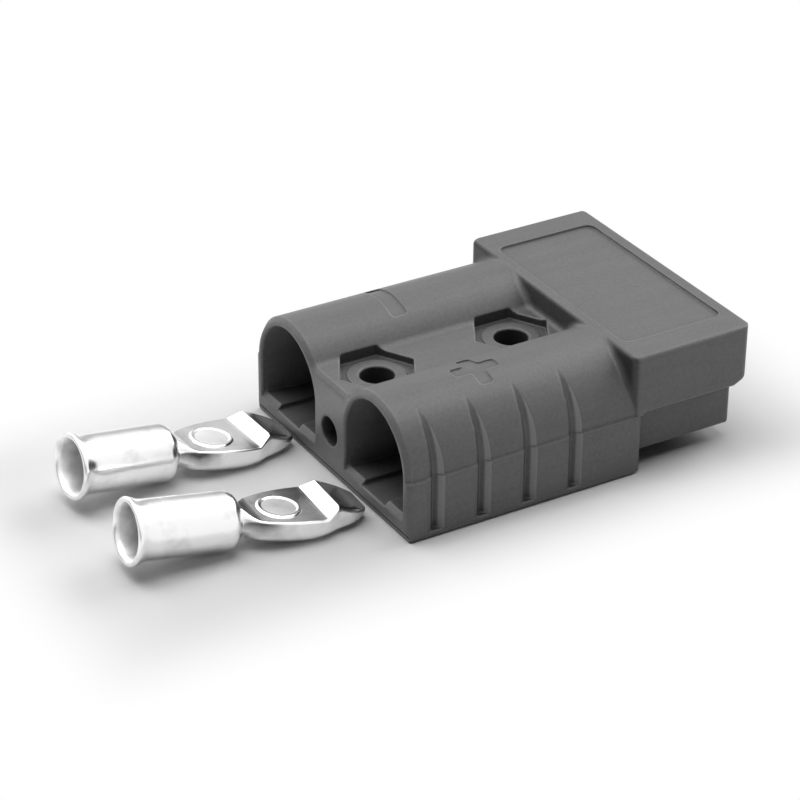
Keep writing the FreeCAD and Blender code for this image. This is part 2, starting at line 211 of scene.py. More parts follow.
def corner_places(width, bottom, top, lower, upper):
    """Centre (y, z) and radius of the four corners, in the order of QUARTERS."""
    places = []
    for out_y, out_z in QUARTERS:
        radius = upper if out_z > 0 else lower
        z = top - radius if out_z > 0 else bottom + radius
        places.append((out_y * (width / 2 - radius), z, radius))
    return places


print("blade of", len(BLADE), "sections, to x =", BLADE[-1][0], "mm")

# %% [markdown]
# No operator lofts through sections, so each one is made from the one before it. The ring is
# extruded, its points are sorted into quarters by where they lie, and each quarter is moved to
# its new corner and scaled to its radius. At the nose the ring is filled and the skin closed.

# %% Pull the blade
def quarter_indices(places):
    """Selected vertices of the open ring, sorted into its quarters."""
    split = (places[0][1] + places[2][1]) / 2 * MM
    mesh = bmesh.from_edit_mesh(bpy.context.object.data)
    groups = {quarter: [] for quarter in QUARTERS}
    for vert in mesh.verts:
        if vert.select:
            groups[math.copysign(1, vert.co.y), math.copysign(1, vert.co.z - split)].append(vert.index)
    return groups


def select_indices(indices):
    """Selects these vertices and nothing else."""
    wanted = set(indices)
    mesh = bmesh.from_edit_mesh(bpy.context.object.data)
    for vert in mesh.verts:
        vert.select = vert.index in wanted
    mesh.select_flush_mode()
    bmesh.update_edit_mesh(bpy.context.object.data)


def pull_section(x_from, places, x_to, new_places):
    """Extrudes the ring along X, then moves and scales each quarter to its new corner."""
    step = ((x_to - x_from) * MM, 0, 0)
    bpy.ops.mesh.extrude_region_move(TRANSFORM_OT_translate={"value": step})
    groups = quarter_indices(places)
    for quarter, (y, z, radius), (new_y, new_z, new_radius) in zip(QUARTERS, places, new_places):
        select_indices(groups[quarter])
        bpy.ops.transform.translate(value=(0, (new_y - y) * MM, (new_z - z) * MM))
        scale = new_radius / radius
        middle = (x_to * MM, new_y * MM, new_z * MM)
        bpy.ops.transform.resize(value=(1, scale, scale), center_override=middle)
    select_indices([index for group in groups.values() for index in group])


def close_skin():
    """Fills the selected ring, turns all faces outward and leaves edit mode."""
    bpy.ops.mesh.edge_face_add()
    bpy.ops.mesh.select_all(action="SELECT")
    bpy.ops.mesh.normals_make_consistent(inside=False)
    bpy.ops.object.mode_set(mode="OBJECT")


bpy.ops.mesh.select_mode(type="VERT")
x_now = neck_x
places_now = [(0, 0, NECK_RADIUS)] * 4
for x_next, *section in BLADE:
    places_next = corner_places(*section)
    pull_section(x_now, places_now, x_next, places_next)
    x_now, places_now = x_next, places_next
close_skin()
print("contact skin:", len(contact.data.vertices), "vertices,", len(contact.data.polygons), "faces")

# %% [markdown]
# The bath that plates a contact hardly reaches into its wire bore, so the bore is duller and
# greyer than the outside. The side walls of the blade under each edge of the pad, next to the
# neck, and the sides of the tip get a painted dark reflection. The mesh remembers these places
# in attributes of its own, which the material reads later. More materials would do too, but
# would end in hard lines. A hair is the slack wherever two places are compared.

# %% Mark the dull places
HAIR = 0.01
BORE_MARK_RADIUS = 3.2
# Where the painted dark reflection lies on the blade's sides and tip.
DARK_REFLECTION_Z = 0.6
DARK_REFLECTION_REACH = 1.9
DARK_REFLECTION_INWARD = 0.08
DARK_REFLECTION_END_X = 19.5
DARK_REFLECTION_LENGTH = 3.5
TIP_START_X = 26.0
TIP_LENGTH = 5.0


def limited(value):
    return max(0.0, min(1.0, value))


def bore_share(x, y, z):
    """1 inside the wire bore, 0 elsewhere."""
    return float(x <= MOUTH_PROFILE[0][0] + HAIR and math.hypot(y, z) < BORE_MARK_RADIUS)


def dark_reflection_share(x, y, z):
    """Painted dark reflection: 1 on the side walls of the blade next to the neck, less towards the pad's end
    and tip.
    """
    row = min(BLADE, key=lambda section: abs(section[0] - x))
    if abs(row[0] - x) > HAIR:
        return 0.0
    at_side = limited(1 - (row[1] / 2 - abs(y)) / DARK_REFLECTION_INWARD)
    below_edge = limited(1 - abs(z - DARK_REFLECTION_Z) / DARK_REFLECTION_REACH)
    by_neck = limited((DARK_REFLECTION_END_X - x) / DARK_REFLECTION_LENGTH)
    by_tip = limited((x - TIP_START_X) / TIP_LENGTH)
    return at_side * max(by_neck * below_edge, by_tip)


def mark_places(piece, name, share):
    """Writes the share of each point, from its place in mm, and returns how many got some."""
    mark = piece.data.attributes.new(name, "FLOAT", "POINT")
    for vert, item in zip(piece.data.vertices, mark.data):
        item.value = share(*(vert.co / MM))
    return sum(item.value > 0 for item in mark.data)


print("points in the bore:", mark_places(contact, "wire_bore", bore_share))
print("points in the painted_reflections:", mark_places(contact, "painted_dark_reflection", dark_reflection_share))

# %% [markdown]
# The pad carries a stamp: a low rounded bead round a bare disc, which the punch leaves a
# little rough. It is made as one coin. The disc's rim is pulled up, outward and down again
# over the bead, and the coin is closed below the surface of the pad. Shading is then smooth
# below an angle, and weighted normals keep the flat faces flat.

# %% Stamped ring
RING_X = 19.0
STAMP_POINTS = 72
CONTACT_SMOOTH = 40
BEAD = (
    # radius, height
    (2.02, 1.03),
    (2.08, 1.07),
    (2.18, 1.14),
    (2.38, 1.18),
    (2.58, 1.14),
    (2.7, 1.04),
    (2.74, 0.9),
)


def disc_share(x, y, z):
    """1 on the disc inside the bead, 0 elsewhere."""
    return float(math.hypot(x - RING_X, y) < BEAD[0][0] + HAIR)


def make_stamp():
    deselect_all()
    radius, z = BEAD[0]
    bpy.ops.mesh.primitive_circle_add(
        vertices=STAMP_POINTS,
        radius=radius * MM,
        fill_type="NGON",
        location=(RING_X * MM, 0, z * MM),
    )
    stamp = bpy.context.object
    apply_transform()
    edit_rim()
    for (radius, z), (new_radius, new_z) in zip(BEAD, BEAD[1:]):
        bpy.ops.mesh.extrude_region_move(TRANSFORM_OT_translate={"value": (0, 0, (new_z - z) * MM)})
        scale = new_radius / radius
        bpy.ops.transform.resize(value=(scale, scale, 1), center_override=(RING_X * MM, 0, new_z * MM))
    close_skin()
    mark_places(stamp, "rough_disc", disc_share)
    return stamp


def activate(piece):
    """Makes a piece the active object and the only selected one."""
    deselect_all()
    piece.select_set(True)
    bpy.context.view_layer.objects.active = piece


def smooth_with_flat_faces(piece, degrees):
    """Smooth shading below the angle, with normals that follow the large faces."""
    activate(piece)
    bpy.ops.object.shade_smooth_by_angle(angle=math.radians(degrees))
    weights = piece.modifiers.new("flat_faces_first", "WEIGHTED_NORMAL")
    weights.keep_sharp = True
    bpy.ops.object.modifier_apply(modifier=weights.name)


stamp = make_stamp()
activate(contact)
stamp.select_set(True)
bpy.ops.object.join()
smooth_with_flat_faces(contact, CONTACT_SMOOTH)
print("with its ring:", len(contact.data.vertices), "vertices")

# %% [markdown]
# Both contacts are the same part, so the second is a copy with a mesh of its own. Each one
# lies on its shoulder and its belly, nose down by the angle at which both touch the table.
# The turn and the place go into the mesh, so that each object stays at the origin.

# %% Lay the contacts down
SHOULDER_TOUCH = (12.0, BARREL_RADIUS)
BELLY_TOUCH = (22.0, 2.0)
# Mouth x, mouth y and heading in degrees.
NEAR_PLACE = (-46.2, -7.2, -3.4)
FAR_PLACE = (-45.6, 8.8, 2.2)
run = BELLY_TOUCH[0] - SHOULDER_TOUCH[0]
pitch = math.atan2(SHOULDER_TOUCH[1] - BELLY_TOUCH[1], run)
lift = BELLY_TOUCH[0] * math.sin(pitch) + BELLY_TOUCH[1] * math.cos(pitch)


def lay_down(piece, node, mouth_x, mouth_y, heading):
    """Lays a contact on the table, where it stands for its CAD node."""
    activate(piece)
    piece.location = Vector((mouth_x, mouth_y, lift)) * MM
    turn_and_apply(piece, (0, pitch, math.radians(heading)))
    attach(piece, "root")
    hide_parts(node)
    low = min(vert.co.z for vert in piece.data.vertices)
    print(piece.name, "lies", round(low / MM, 3), "mm above the table at its lowest point")


second = contact.copy()
second.data = contact.data.copy()
second.name = "contact_far_skin"
bpy.context.collection.objects.link(second)
lay_down(contact, "contact_near", *NEAR_PLACE)
lay_down(second, "contact_far", *FAR_PLACE)
print("nose down by", round(math.degrees(pitch), 2), "degrees, mouth centre", round(lift, 2), "mm up")

# %% [markdown]
# The housing has three sunk details that the CAD solid leaves out: a plus and a bar on the
# crests of the arches, which tell the poles apart, and a fine line along the foot of the rear
# face. A bump in the material could fake them, but then the part itself would stay smooth.
# A CAD node is never changed, so a copy of it is merged into one closed skin to cut from.

# %% Copy the housing
SAME_POINT = 0.0001


def copy_skin(node, name):
    """One closed skin from a CAD node, whose own triangles are loose."""
    skin = bpy.data.objects.new(name, node.data.copy())
    bpy.context.collection.objects.link(skin)
    activate(skin)
    bpy.ops.mesh.customdata_custom_splitnormals_clear()
    bpy.ops.object.mode_set(mode="EDIT")
    bpy.ops.mesh.select_all(action="SELECT")
    bpy.ops.mesh.remove_doubles(threshold=SAME_POINT * MM)
    bpy.ops.object.mode_set(mode="OBJECT")
    return skin


skin = copy_skin(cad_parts["housing"], "housing_skin")
print("housing skin:", len(skin.data.vertices), "vertices")

# %% [markdown]
# The skin is changed with tools. A tool starts as a block or a rod, is combined with the skin
# by a Boolean modifier, and is then put away. The exact solver keeps a closed skin closed.

# %% Blocks and rods
ROD_POINTS = 128


def start_block(name, middle, size):
    """A block from its middle and its length along each axis, in mm."""
    deselect_all()
    bpy.ops.mesh.primitive_cube_add(size=1.0)
    block = bpy.context.object
    block.name = name
    block.location = Vector(middle) * MM
    block.scale = Vector(size) * MM
    apply_transform()
    return block


def start_rod(middle, radius, length, turn):
    """A rod that stands along Z until the turn lays it along another axis."""
    deselect_all()
    bpy.ops.mesh.primitive_cylinder_add(vertices=ROD_POINTS, radius=radius * MM, depth=length * MM)
    rod = bpy.context.object
    turn_and_apply(rod, turn)
    rod.location = Vector(middle) * MM
    return rod


def combine(piece, tool, operation):
    """Cuts the tool's shape from the piece or adds it, and puts the tool away."""
    activate(piece)
    boolean = piece.modifiers.new("combine", "BOOLEAN")
    boolean.operation = operation
    boolean.solver = "EXACT"
    boolean.object = tool
    bpy.ops.object.modifier_apply(modifier=boolean.name)
    bpy.data.objects.remove(tool)


print("a rod has", ROD_POINTS, "sides")

# %% [markdown]
# A mould maker engraves such a mark with a punch. Each punch here starts as a block. For the
# plus, the four sides of a square block are pulled out into arms. The upright corners are
# rounded, and a rod along the arch hollows the punch from below, so that the floor of the
# mark follows the arch, two tenths of a millimetre deep.

# %% Punches
ARCH_Y = 10.2
ARCH_Z = 7.9
ARCH_RADIUS = 7.8
MARK_X = -2.3
MARK_Z = 14.5
MARK_DEPTH = 0.2
MARK_ROUND = 0.4
ROUND_STEPS = 4
PLUS_THICK = 1.8
PLUS_ARM = 2.1
BAR_THICK = 2.1
BAR_LONG = 7.2
PUNCH_TALL = 5.0
HOLLOW_LONG = 12.0
NEARLY_ALONG = 0.99


def pull_arms(block, middle, arm):
    """Pulls the four sides of a square block outward."""
    bpy.ops.object.mode_set(mode="EDIT")
    bpy.ops.mesh.select_mode(type="FACE")
    for way in (Vector((1, 0, 0)), Vector((-1, 0, 0)), Vector((0, 1, 0)), Vector((0, -1, 0))):
        mesh = bmesh.from_edit_mesh(block.data)
        for face in mesh.faces:
            offset = face.calc_center_median() / MM - Vector(middle)
            aside = offset - way * offset.dot(way)
            face.select = face.normal.dot(way) > NEARLY_ALONG and aside.length < HAIR
        mesh.select_flush_mode()
        bmesh.update_edit_mesh(block.data)
        bpy.ops.mesh.extrude_region_move(TRANSFORM_OT_translate={"value": way * arm * MM})
    bpy.ops.object.mode_set(mode="OBJECT")


def round_upright_edges(block):
    """Bevels the edges along Z, the inner corners of a plus among them."""
    bpy.ops.object.mode_set(mode="EDIT")
    bpy.ops.mesh.select_mode(type="EDGE")
    mesh = bmesh.from_edit_mesh(block.data)
    for edge in mesh.edges:
        way = (edge.verts[1].co - edge.verts[0].co).normalized()
        edge.select = abs(way.z) > NEARLY_ALONG
    mesh.select_flush_mode()
    bmesh.update_edit_mesh(block.data)
    bpy.ops.mesh.bevel(offset=MARK_ROUND * MM, segments=ROUND_STEPS, affect="EDGES")
    bpy.ops.object.mode_set(mode="OBJECT")


def make_punch(name, side, size, arm=0.0):
    """A punch over the crest of one arch, hollow below."""
    middle = (MARK_X, side * ARCH_Y, MARK_Z)
    punch = start_block(name, middle, (*size, PUNCH_TALL))
    if arm:
        pull_arms(punch, middle, arm)
    round_upright_edges(punch)
    axis = (MARK_X, side * ARCH_Y, ARCH_Z)
    combine(punch, start_rod(axis, ARCH_RADIUS - MARK_DEPTH, HOLLOW_LONG, ALONG_X), "DIFFERENCE")
    return punch


plus_punch = make_punch("plus_punch", -1, (PLUS_THICK, PLUS_THICK), PLUS_ARM)
bar_punch = make_punch("bar_punch", 1, (BAR_THICK, BAR_LONG))
print("punches with", len(plus_punch.data.polygons), "and", len(bar_punch.data.polygons), "faces")

# %% [markdown]
# At the mating end the real moulding is rounder than the solid, and its tongue ends full
# below. Two blocks fill the tongue's end, a hair inside the old faces so that no two faces
# coincide. An edge is then rounded as a plane would do it: a block over the edge, less a rod
# inside it, is the waste, and it is cut away.

# %% Round the mating end
ALONG_Y = (math.pi / 2, 0, 0)
ALONG_Z = (0, 0, 0)
TONGUE_END_X = 30.8
TONGUE_HALF = 16.35
TONGUE_LOW = 2.05
TONGUE_ROUND = 0.8
# Start along X, end along X and top of each block.
TONGUE_FILLS = ((27.5, 29.7, 3.3), (29.6, TONGUE_END_X - HAIR, 4.0))
HOOD_END_X = 31.7
HOOD_HALF = 18.25
HOOD_CORNER = 1.2
# Each tool is longer than its edge and stands past it by the spare.
LOW_EDGE_TOOL = 40.0
TONGUE_SIDE_Z = 4.5
TONGUE_SIDE_TOOL = 7.0
HOOD_SIDE_Z = 12.0
HOOD_SIDE_TOOL = 10.0
SPARE = 1.0


def fill_tongue(piece, start_x, end_x, top):
    """Adds a block to the tongue between two places along X, up to a height."""
    middle = ((start_x + end_x) / 2, 0.0, (TONGUE_LOW + top) / 2)
    size = (end_x - start_x, 2 * (TONGUE_HALF - HAIR), top - TONGUE_LOW - HAIR)
    combine(piece, start_block("tongue_fill", middle, size), "UNION")


def round_edge(piece, turn, place, inward, radius, length):
    """Rounds the edge through a place; inward points into the material, across both faces."""
    axis = Vector(place) + Vector(inward) * (radius - HAIR)
    reach = radius + SPARE
    size = [reach if way else length for way in inward]
    waste = start_block("waste", axis - Vector(inward) * reach / 2, size)
    combine(waste, start_rod(axis, radius, length + SPARE, turn), "DIFFERENCE")
    combine(piece, waste, "DIFFERENCE")


for start_x, end_x, top in TONGUE_FILLS:
    fill_tongue(skin, start_x, end_x, top)
low_edge = (TONGUE_END_X, 0, TONGUE_LOW)
round_edge(skin, ALONG_Y, low_edge, (-1, 0, 1), TONGUE_ROUND, LOW_EDGE_TOOL)
for side in (-1, 1):
    inward = (-1, -side, 0)
    tongue_edge = (TONGUE_END_X, side * TONGUE_HALF, TONGUE_SIDE_Z)
    hood_edge = (HOOD_END_X, side * HOOD_HALF, HOOD_SIDE_Z)
    round_edge(skin, ALONG_Z, tongue_edge, inward, TONGUE_ROUND, TONGUE_SIDE_TOOL)
    round_edge(skin, ALONG_Z, hood_edge, inward, HOOD_CORNER, HOOD_SIDE_TOOL)
print("rounded skin:", len(skin.data.polygons), "faces")

# %% [markdown]
# With the punches ready, the marks and the foot line are cut one after the other, and the
# skin takes the housing's place. A skin that stayed closed has two faces at every edge.

# %% Cut the marks
FOOT_LINE = (-16.0, 0.0, 0.85)
FOOT_LINE_SIZE = (0.8, 40.0, 0.3)
HOUSING_SMOOTH = 30


def edges_left_open(piece):
    mesh = bmesh.new()
    mesh.from_mesh(piece.data)
    count = sum(not edge.is_manifold for edge in mesh.edges)
    mesh.free()
    return count


for punch in (plus_punch, bar_punch, start_block("foot_line_punch", FOOT_LINE, FOOT_LINE_SIZE)):
    combine(skin, punch, "DIFFERENCE")
smooth_with_flat_faces(skin, HOUSING_SMOOTH)
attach(skin, "root")
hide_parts("housing")
print("skin with marks:", len(skin.data.polygons), "faces,", edges_left_open(skin), "edges left open")

# %% [markdown]
# Finishes come next. Values that several materials share are kept in shader groups. A group
# hands out only colours, masks, values and normals, and the shader itself stays in the
# material, where its plain numbers can be read and changed. Nodes are placed and wired by
# small helpers, so that a recipe below reads as a few lines.

# %% Groups, materials and wires
def new_group(name, inputs, outputs):
    """An empty shader group with named sockets: inputs as (name, kind, value)."""
    group = bpy.data.node_groups.new(name, "ShaderNodeTree")
    for label, kind, value in inputs:
        socket = group.interface.new_socket(label, in_out="INPUT", socket_type=kind)
        socket.default_value = value
    for label, kind in outputs:
        group.interface.new_socket(label, in_out="OUTPUT", socket_type=kind)
    return group, group.nodes.new("NodeGroupInput"), group.nodes.new("NodeGroupOutput")


def new_material(name):
    """A new material, its node tree and its shader."""
    material = bpy.data.materials.new(name)
    material.use_nodes = True
    tree = material.node_tree
    return material, tree, tree.nodes["Principled BSDF"]


def wire(tree, *links):
    """Joins sockets given in pairs."""
    for start, end in links:
        tree.links.new(start, end)


print("materials that came with the frame:", len(bpy.data.materials))

# %% [markdown]
# A pattern is a noise over the object's own coordinates, so it stays on the piece from every
# side. How fine it is can be said as grains per metre, and stretched coordinates turn grains
# into streaks. Maths nodes shape the noise, and a grey ramp turns the result into a colour.

# %% Noises, maths and ramps
COOL = 1.005


def math_node(tree, operation, *operands):
    """A math node; each operand is a number or a socket."""
    node = tree.nodes.new("ShaderNodeMath")
    node.operation = operation
    for slot, value in enumerate(operands):
        if isinstance(value, (int, float)):
            node.inputs[slot].default_value = value
        else:
            tree.links.new(value, node.inputs[slot])
    return node.outputs[0]


def ramp_node(tree, factor, dark, light, start=0.0, end=1.0):
    """A grey ramp between two levels, a trace cooler than neutral."""
    node = tree.nodes.new("ShaderNodeValToRGB")
    node.color_ramp.elements[0].position = start
    node.color_ramp.elements[0].color = (dark, dark, dark * COOL, 1)
    node.color_ramp.elements[1].position = end
    node.color_ramp.elements[1].color = (light, light, light * COOL, 1)
    tree.links.new(factor, node.inputs["Fac"])
    return node.outputs["Color"]


def object_place(tree):
    return tree.nodes.new("ShaderNodeTexCoord").outputs["Object"]


def noise_node(tree, place, per_metre, detail=2.0):
    """A noise from 0 to 1, with so many grains in a metre."""
    node = tree.nodes.new("ShaderNodeTexNoise")
    node.inputs["Scale"].default_value = per_metre
    node.inputs["Detail"].default_value = detail
    tree.links.new(place, node.inputs["Vector"])
    return node.outputs["Fac"]


def streak_node(tree, place, per_metre):
    """A noise with its own number of grains in a metre along each axis."""
    stretch = tree.nodes.new("ShaderNodeMapping")
    stretch.inputs["Scale"].default_value = per_metre
    tree.links.new(place, stretch.inputs["Vector"])
    return noise_node(tree, stretch.outputs["Vector"], 1.0)


print("in a ramp, a grey of 0.2 has a blue of", round(0.2 * COOL, 4))

# %% [markdown]
# Moulded plastic gets its look from the mould. Spark erosion leaves a fine even grain, and
# the plastic flows along the arches and leaves faint streaks. Both are noises: the grain is
# very fine and equal in all directions, and the streaks are stretched along X. The grain
# gives a bump and a speckle together, because light stays out of its pits.

# %% Grain and streaks
GRAIN_PER_METRE = 2600.0
GRAIN_DEPTH = 0.05
GRAIN_STRENGTH = 0.4
GRAIN_DETAIL = 3.0
MOTTLE_PER_METRE = 160.0
FLOW_PER_METRE = (60.0, 700.0, 700.0)


def make_grain_group():
    group, entry, out = new_group(
        "mould_grain",
        [
            ("Per Metre", "NodeSocketFloat", GRAIN_PER_METRE),
            ("Strength", "NodeSocketFloat", GRAIN_STRENGTH),
            ("Base Normal", "NodeSocketVector", (0, 0, 0)),
        ],
        [
            ("Normal", "NodeSocketVector"),
            ("Speckle", "NodeSocketFloat"),
            ("Mottle", "NodeSocketFloat"),
            ("Streak", "NodeSocketFloat"),
        ],
    )
    place = object_place(group)
    fine = group.nodes.new("ShaderNodeTexNoise")
    fine.inputs["Detail"].default_value = GRAIN_DETAIL
    bump = group.nodes.new("ShaderNodeBump")
    bump.inputs["Distance"].default_value = GRAIN_DEPTH * MM
    wire(
        group,
        (place, fine.inputs["Vector"]),
        (entry.outputs["Per Metre"], fine.inputs["Scale"]),
        (entry.outputs["Strength"], bump.inputs["Strength"]),
        (entry.outputs["Base Normal"], bump.inputs["Normal"]),
        (fine.outputs["Fac"], bump.inputs["Height"]),
        (bump.outputs["Normal"], out.inputs["Normal"]),
        (fine.outputs["Fac"], out.inputs["Speckle"]),
        (noise_node(group, place, MOTTLE_PER_METRE, GRAIN_DETAIL), out.inputs["Mottle"]),
        (streak_node(group, place, FLOW_PER_METRE), out.inputs["Streak"]),
    )
    return group


mould_grain = make_grain_group()
print("group", mould_grain.name)

# %% [markdown]
# Several masks depend on where a point is: near a crest of the grip, in a corner at the hood,
# or over the table's middle. Such a mask starts from the object coordinates, takes a distance
# from a place or from a rounded bar, and turns it into a soft step from 0 to 1.

# %% Masks from places
def smooth_range(tree, value, start, end):
    """0 at the start, 1 at the end, and a soft curve between."""
    node = tree.nodes.new("ShaderNodeMapRange")
    node.interpolation_type = "SMOOTHSTEP"
    node.inputs["From Min"].default_value = start
    node.inputs["From Max"].default_value = end
    tree.links.new(value, node.inputs["Value"])
    return node.outputs["Result"]


def object_axes(tree):
    """The object coordinates along X and Y as sockets."""
    split = tree.nodes.new("ShaderNodeSeparateXYZ")
    tree.links.new(object_place(tree), split.inputs["Vector"])
    return split.outputs["X"], split.outputs["Y"]


def from_middle(tree, value, middle):
    """How far a coordinate is from a place in mm, either way."""
    return math_node(tree, "ABSOLUTE", math_node(tree, "SUBTRACT", value, middle * MM))


def bar_distance(tree, x, y, middle, reach, rounding):
    """Distance from the outline of a bar, negative inside it, in metres."""
    beyond_x = math_node(tree, "SUBTRACT", from_middle(tree, x, middle[0]), reach[0] * MM)
    beyond_y = math_node(tree, "SUBTRACT", from_middle(tree, y, middle[1]), reach[1] * MM)
    return math_node(tree, "SMOOTH_MAX", beyond_x, beyond_y, rounding * MM)


print("groups so far:", [group.name for group in bpy.data.node_groups])

# %% [markdown]
# The risers of the grip grooves, which face the cable end, and the edges get a painted
# highlight, and the slopes into the grooves and two corners at the hood get painted shade. All
# these places are found from normals. A riser's normal leans to -X on a side wall, and the
# slope that falls into the groove leans to +X. Only the last part of a riser, next to its
# crest, gets the painted highlight, and how far a point is from the next crest follows from X,
# because the crests are evenly spaced. The painted shade also lies in the two corners where
# the arches' outer flanks run into the hood: there the normal leans to -X too. On an edge the
# rounded normal of a Bevel node leaves the flat one, and the more they differ, the closer the
# edge is.

# %% Painted highlights and shade
FIRST_CREST_X = -11.05
CREST_PITCH = 6.3
HIGHLIGHT_WIDTH = 0.6
HIGHLIGHT_FADE = (1.2, 0.8)
CORNER_X = 11.0
CORNER_Y = 12.5
CORNER_FADE = 1.0
# Parts of a normal along Y and X, and how well two normals agree, at 0 and at 1 of each mask.
SIDE_WALL = (0.45, 0.7)
RISER_LEAN = (-0.3, -0.5)
SLOPE_LEAN = (0.12, 0.35)
CORNER_LEAN = (-0.25, -0.6)
EDGE_AGREES = (0.995, 0.9)


def make_painted_light_group():
    group, entry, out = new_group(
        "painted_light_masks",
        [("Rounded Normal", "NodeSocketVector", (0, 0, 0))],
        [(label, "NodeSocketFloat") for label in ("Riser", "Slope", "Corner", "Edge")],
    )
    x, y = object_axes(group)
    past_first = math_node(group, "SUBTRACT", x, FIRST_CREST_X * MM)
    crests_passed = math_node(group, "DIVIDE", past_first, CREST_PITCH * MM)
    to_crest = math_node(group, "SUBTRACT", 1.0, math_node(group, "FRACT", crests_passed))
    highlit = HIGHLIGHT_WIDTH / CREST_PITCH
    by_crest = smooth_range(group, to_crest, highlit * HIGHLIGHT_FADE[0], highlit * HIGHLIGHT_FADE[1])
    flat = group.nodes.new("ShaderNodeNewGeometry").outputs["True Normal"]
    split = group.nodes.new("ShaderNodeSeparateXYZ")
    agree = group.nodes.new("ShaderNodeVectorMath")
    agree.operation = "DOT_PRODUCT"
    wire(
        group,
        (flat, split.inputs["Vector"]),
        (flat, agree.inputs[0]),
        (entry.outputs["Rounded Normal"], agree.inputs[1]),
    )
    lean = split.outputs["X"]
    sideways = smooth_range(group, math_node(group, "ABSOLUTE", split.outputs["Y"]), *SIDE_WALL)
    riser = math_node(group, "MULTIPLY", smooth_range(group, lean, *RISER_LEAN), sideways)
    slope = math_node(group, "MULTIPLY", smooth_range(group, lean, *SLOPE_LEAN), sideways)
    past_grooves = math_node(group, "GREATER_THAN", x, CORNER_X * MM)
    from_axis = from_middle(group, y, 0.0)
    outside = smooth_range(group, from_axis, (CORNER_Y - CORNER_FADE) * MM, CORNER_Y * MM)
    at_hood = math_node(group, "MULTIPLY", past_grooves, outside)
    corner = math_node(group, "MULTIPLY", at_hood, smooth_range(group, lean, *CORNER_LEAN))
    # Riser and Edge are masks for painted highlight, Slope and Corner for painted shade.
    wire(
        group,
        (math_node(group, "MULTIPLY", riser, by_crest), out.inputs["Riser"]),
        (slope, out.inputs["Slope"]),
        (corner, out.inputs["Corner"]),
        (smooth_range(group, agree.outputs["Value"], *EDGE_AGREES), out.inputs["Edge"]),
    )
    return group


painted_light_masks = make_painted_light_group()
print("group", painted_light_masks.name)

# %% [markdown]
# The housing is one dark grey moulding. A mould has no razor edges, so a Bevel node rounds
# the shading of every edge and corner by a few tenths of a millimetre, and the grain is bumped
# onto that normal. Its tone runs along one grey ramp: painted highlights on the risers and
# edges move it up, and painted shade in the grooves, in the corners at the hood and in
# recesses, which an Ambient Occlusion node finds, moves it down.

# %% Housing plastic
PLASTIC_DARK = 0.03
PLASTIC_LIGHT = 0.265
PLASTIC_ROUGH = 0.44
MASK_SAMPLES = 8
EDGE_SOFT = 0.45
MAIN_TONE = 0.18
SPECKLE_TONE = 0.25
MOTTLE_TONE = 0.09
STREAK_TONE = 0.12
# Painted highlight on risers and edges, painted shade on slopes, corners and recesses.
RISER_HIGHLIGHT = 0.65
EDGE_HIGHLIGHT = 0.26
SLOPE_SHADE = -0.05
CORNER_SHADE = -0.4
RECESS_SHADE = -0.55
RECESS_REACH = 8.0


def recess_mask(tree):
    """0 on open surfaces, towards 1 deep in a recess of the same piece, where shade is painted."""
    shade = tree.nodes.new("ShaderNodeAmbientOcclusion")
    shade.samples = MASK_SAMPLES
    shade.only_local = True
    shade.inputs["Distance"].default_value = RECESS_REACH * MM
    return math_node(tree, "SUBTRACT", 1.0, shade.outputs["AO"])


def group_node(tree, group, **values):
    """Places a shader group, with its own plain values."""
    node = tree.nodes.new("ShaderNodeGroup")
    node.node_tree = group
    for label, value in values.items():
        node.inputs[label].default_value = value
    return node


def make_plastic():
    material, tree, shader = new_material("grey_moulding")
    soft = tree.nodes.new("ShaderNodeBevel")
    soft.samples = MASK_SAMPLES
    soft.inputs["Radius"].default_value = EDGE_SOFT * MM
    painted = group_node(tree, painted_light_masks)
    grain = group_node(tree, mould_grain, Strength=GRAIN_STRENGTH)
    tone = MAIN_TONE
    # Speckle, mottle and streaks are the moulding's own tone; the other masks paint highlight and shade.
    for mask, amount in (
        (grain.outputs["Speckle"], SPECKLE_TONE),
        (grain.outputs["Mottle"], MOTTLE_TONE),
        (grain.outputs["Streak"], STREAK_TONE),
        (painted.outputs["Riser"], RISER_HIGHLIGHT),
        (painted.outputs["Edge"], EDGE_HIGHLIGHT),
        (painted.outputs["Slope"], SLOPE_SHADE),
        (painted.outputs["Corner"], CORNER_SHADE),
        (recess_mask(tree), RECESS_SHADE),
    ):
        tone = math_node(tree, "MULTIPLY_ADD", mask, amount, tone)
    wire(
        tree,
        (soft.outputs["Normal"], painted.inputs["Rounded Normal"]),
        (soft.outputs["Normal"], grain.inputs["Base Normal"]),
        (grain.outputs["Normal"], shader.inputs["Normal"]),
        (ramp_node(tree, tone, PLASTIC_DARK, PLASTIC_LIGHT), shader.inputs["Base Color"]),
    )
    shader.inputs["Roughness"].default_value = PLASTIC_ROUGH
    return material


grey_moulding = make_plastic()
print("material", grey_moulding.name)

# %% [markdown]
# Silver plating is bright but never even: it is a little cloudy, tumbling leaves fine
# scratches, and the press leaves the blade with shallow dents. Clouds set the tint and the
# roughness, and two bumps of very different size make the rest. Inside the wire bore the tint
# goes down and the roughness up. On the blade's sides by the neck and at the tip a painted dark
# reflection does the same, and on the stamped disc only the roughness goes up, each by the
# attribute that the mesh carries.

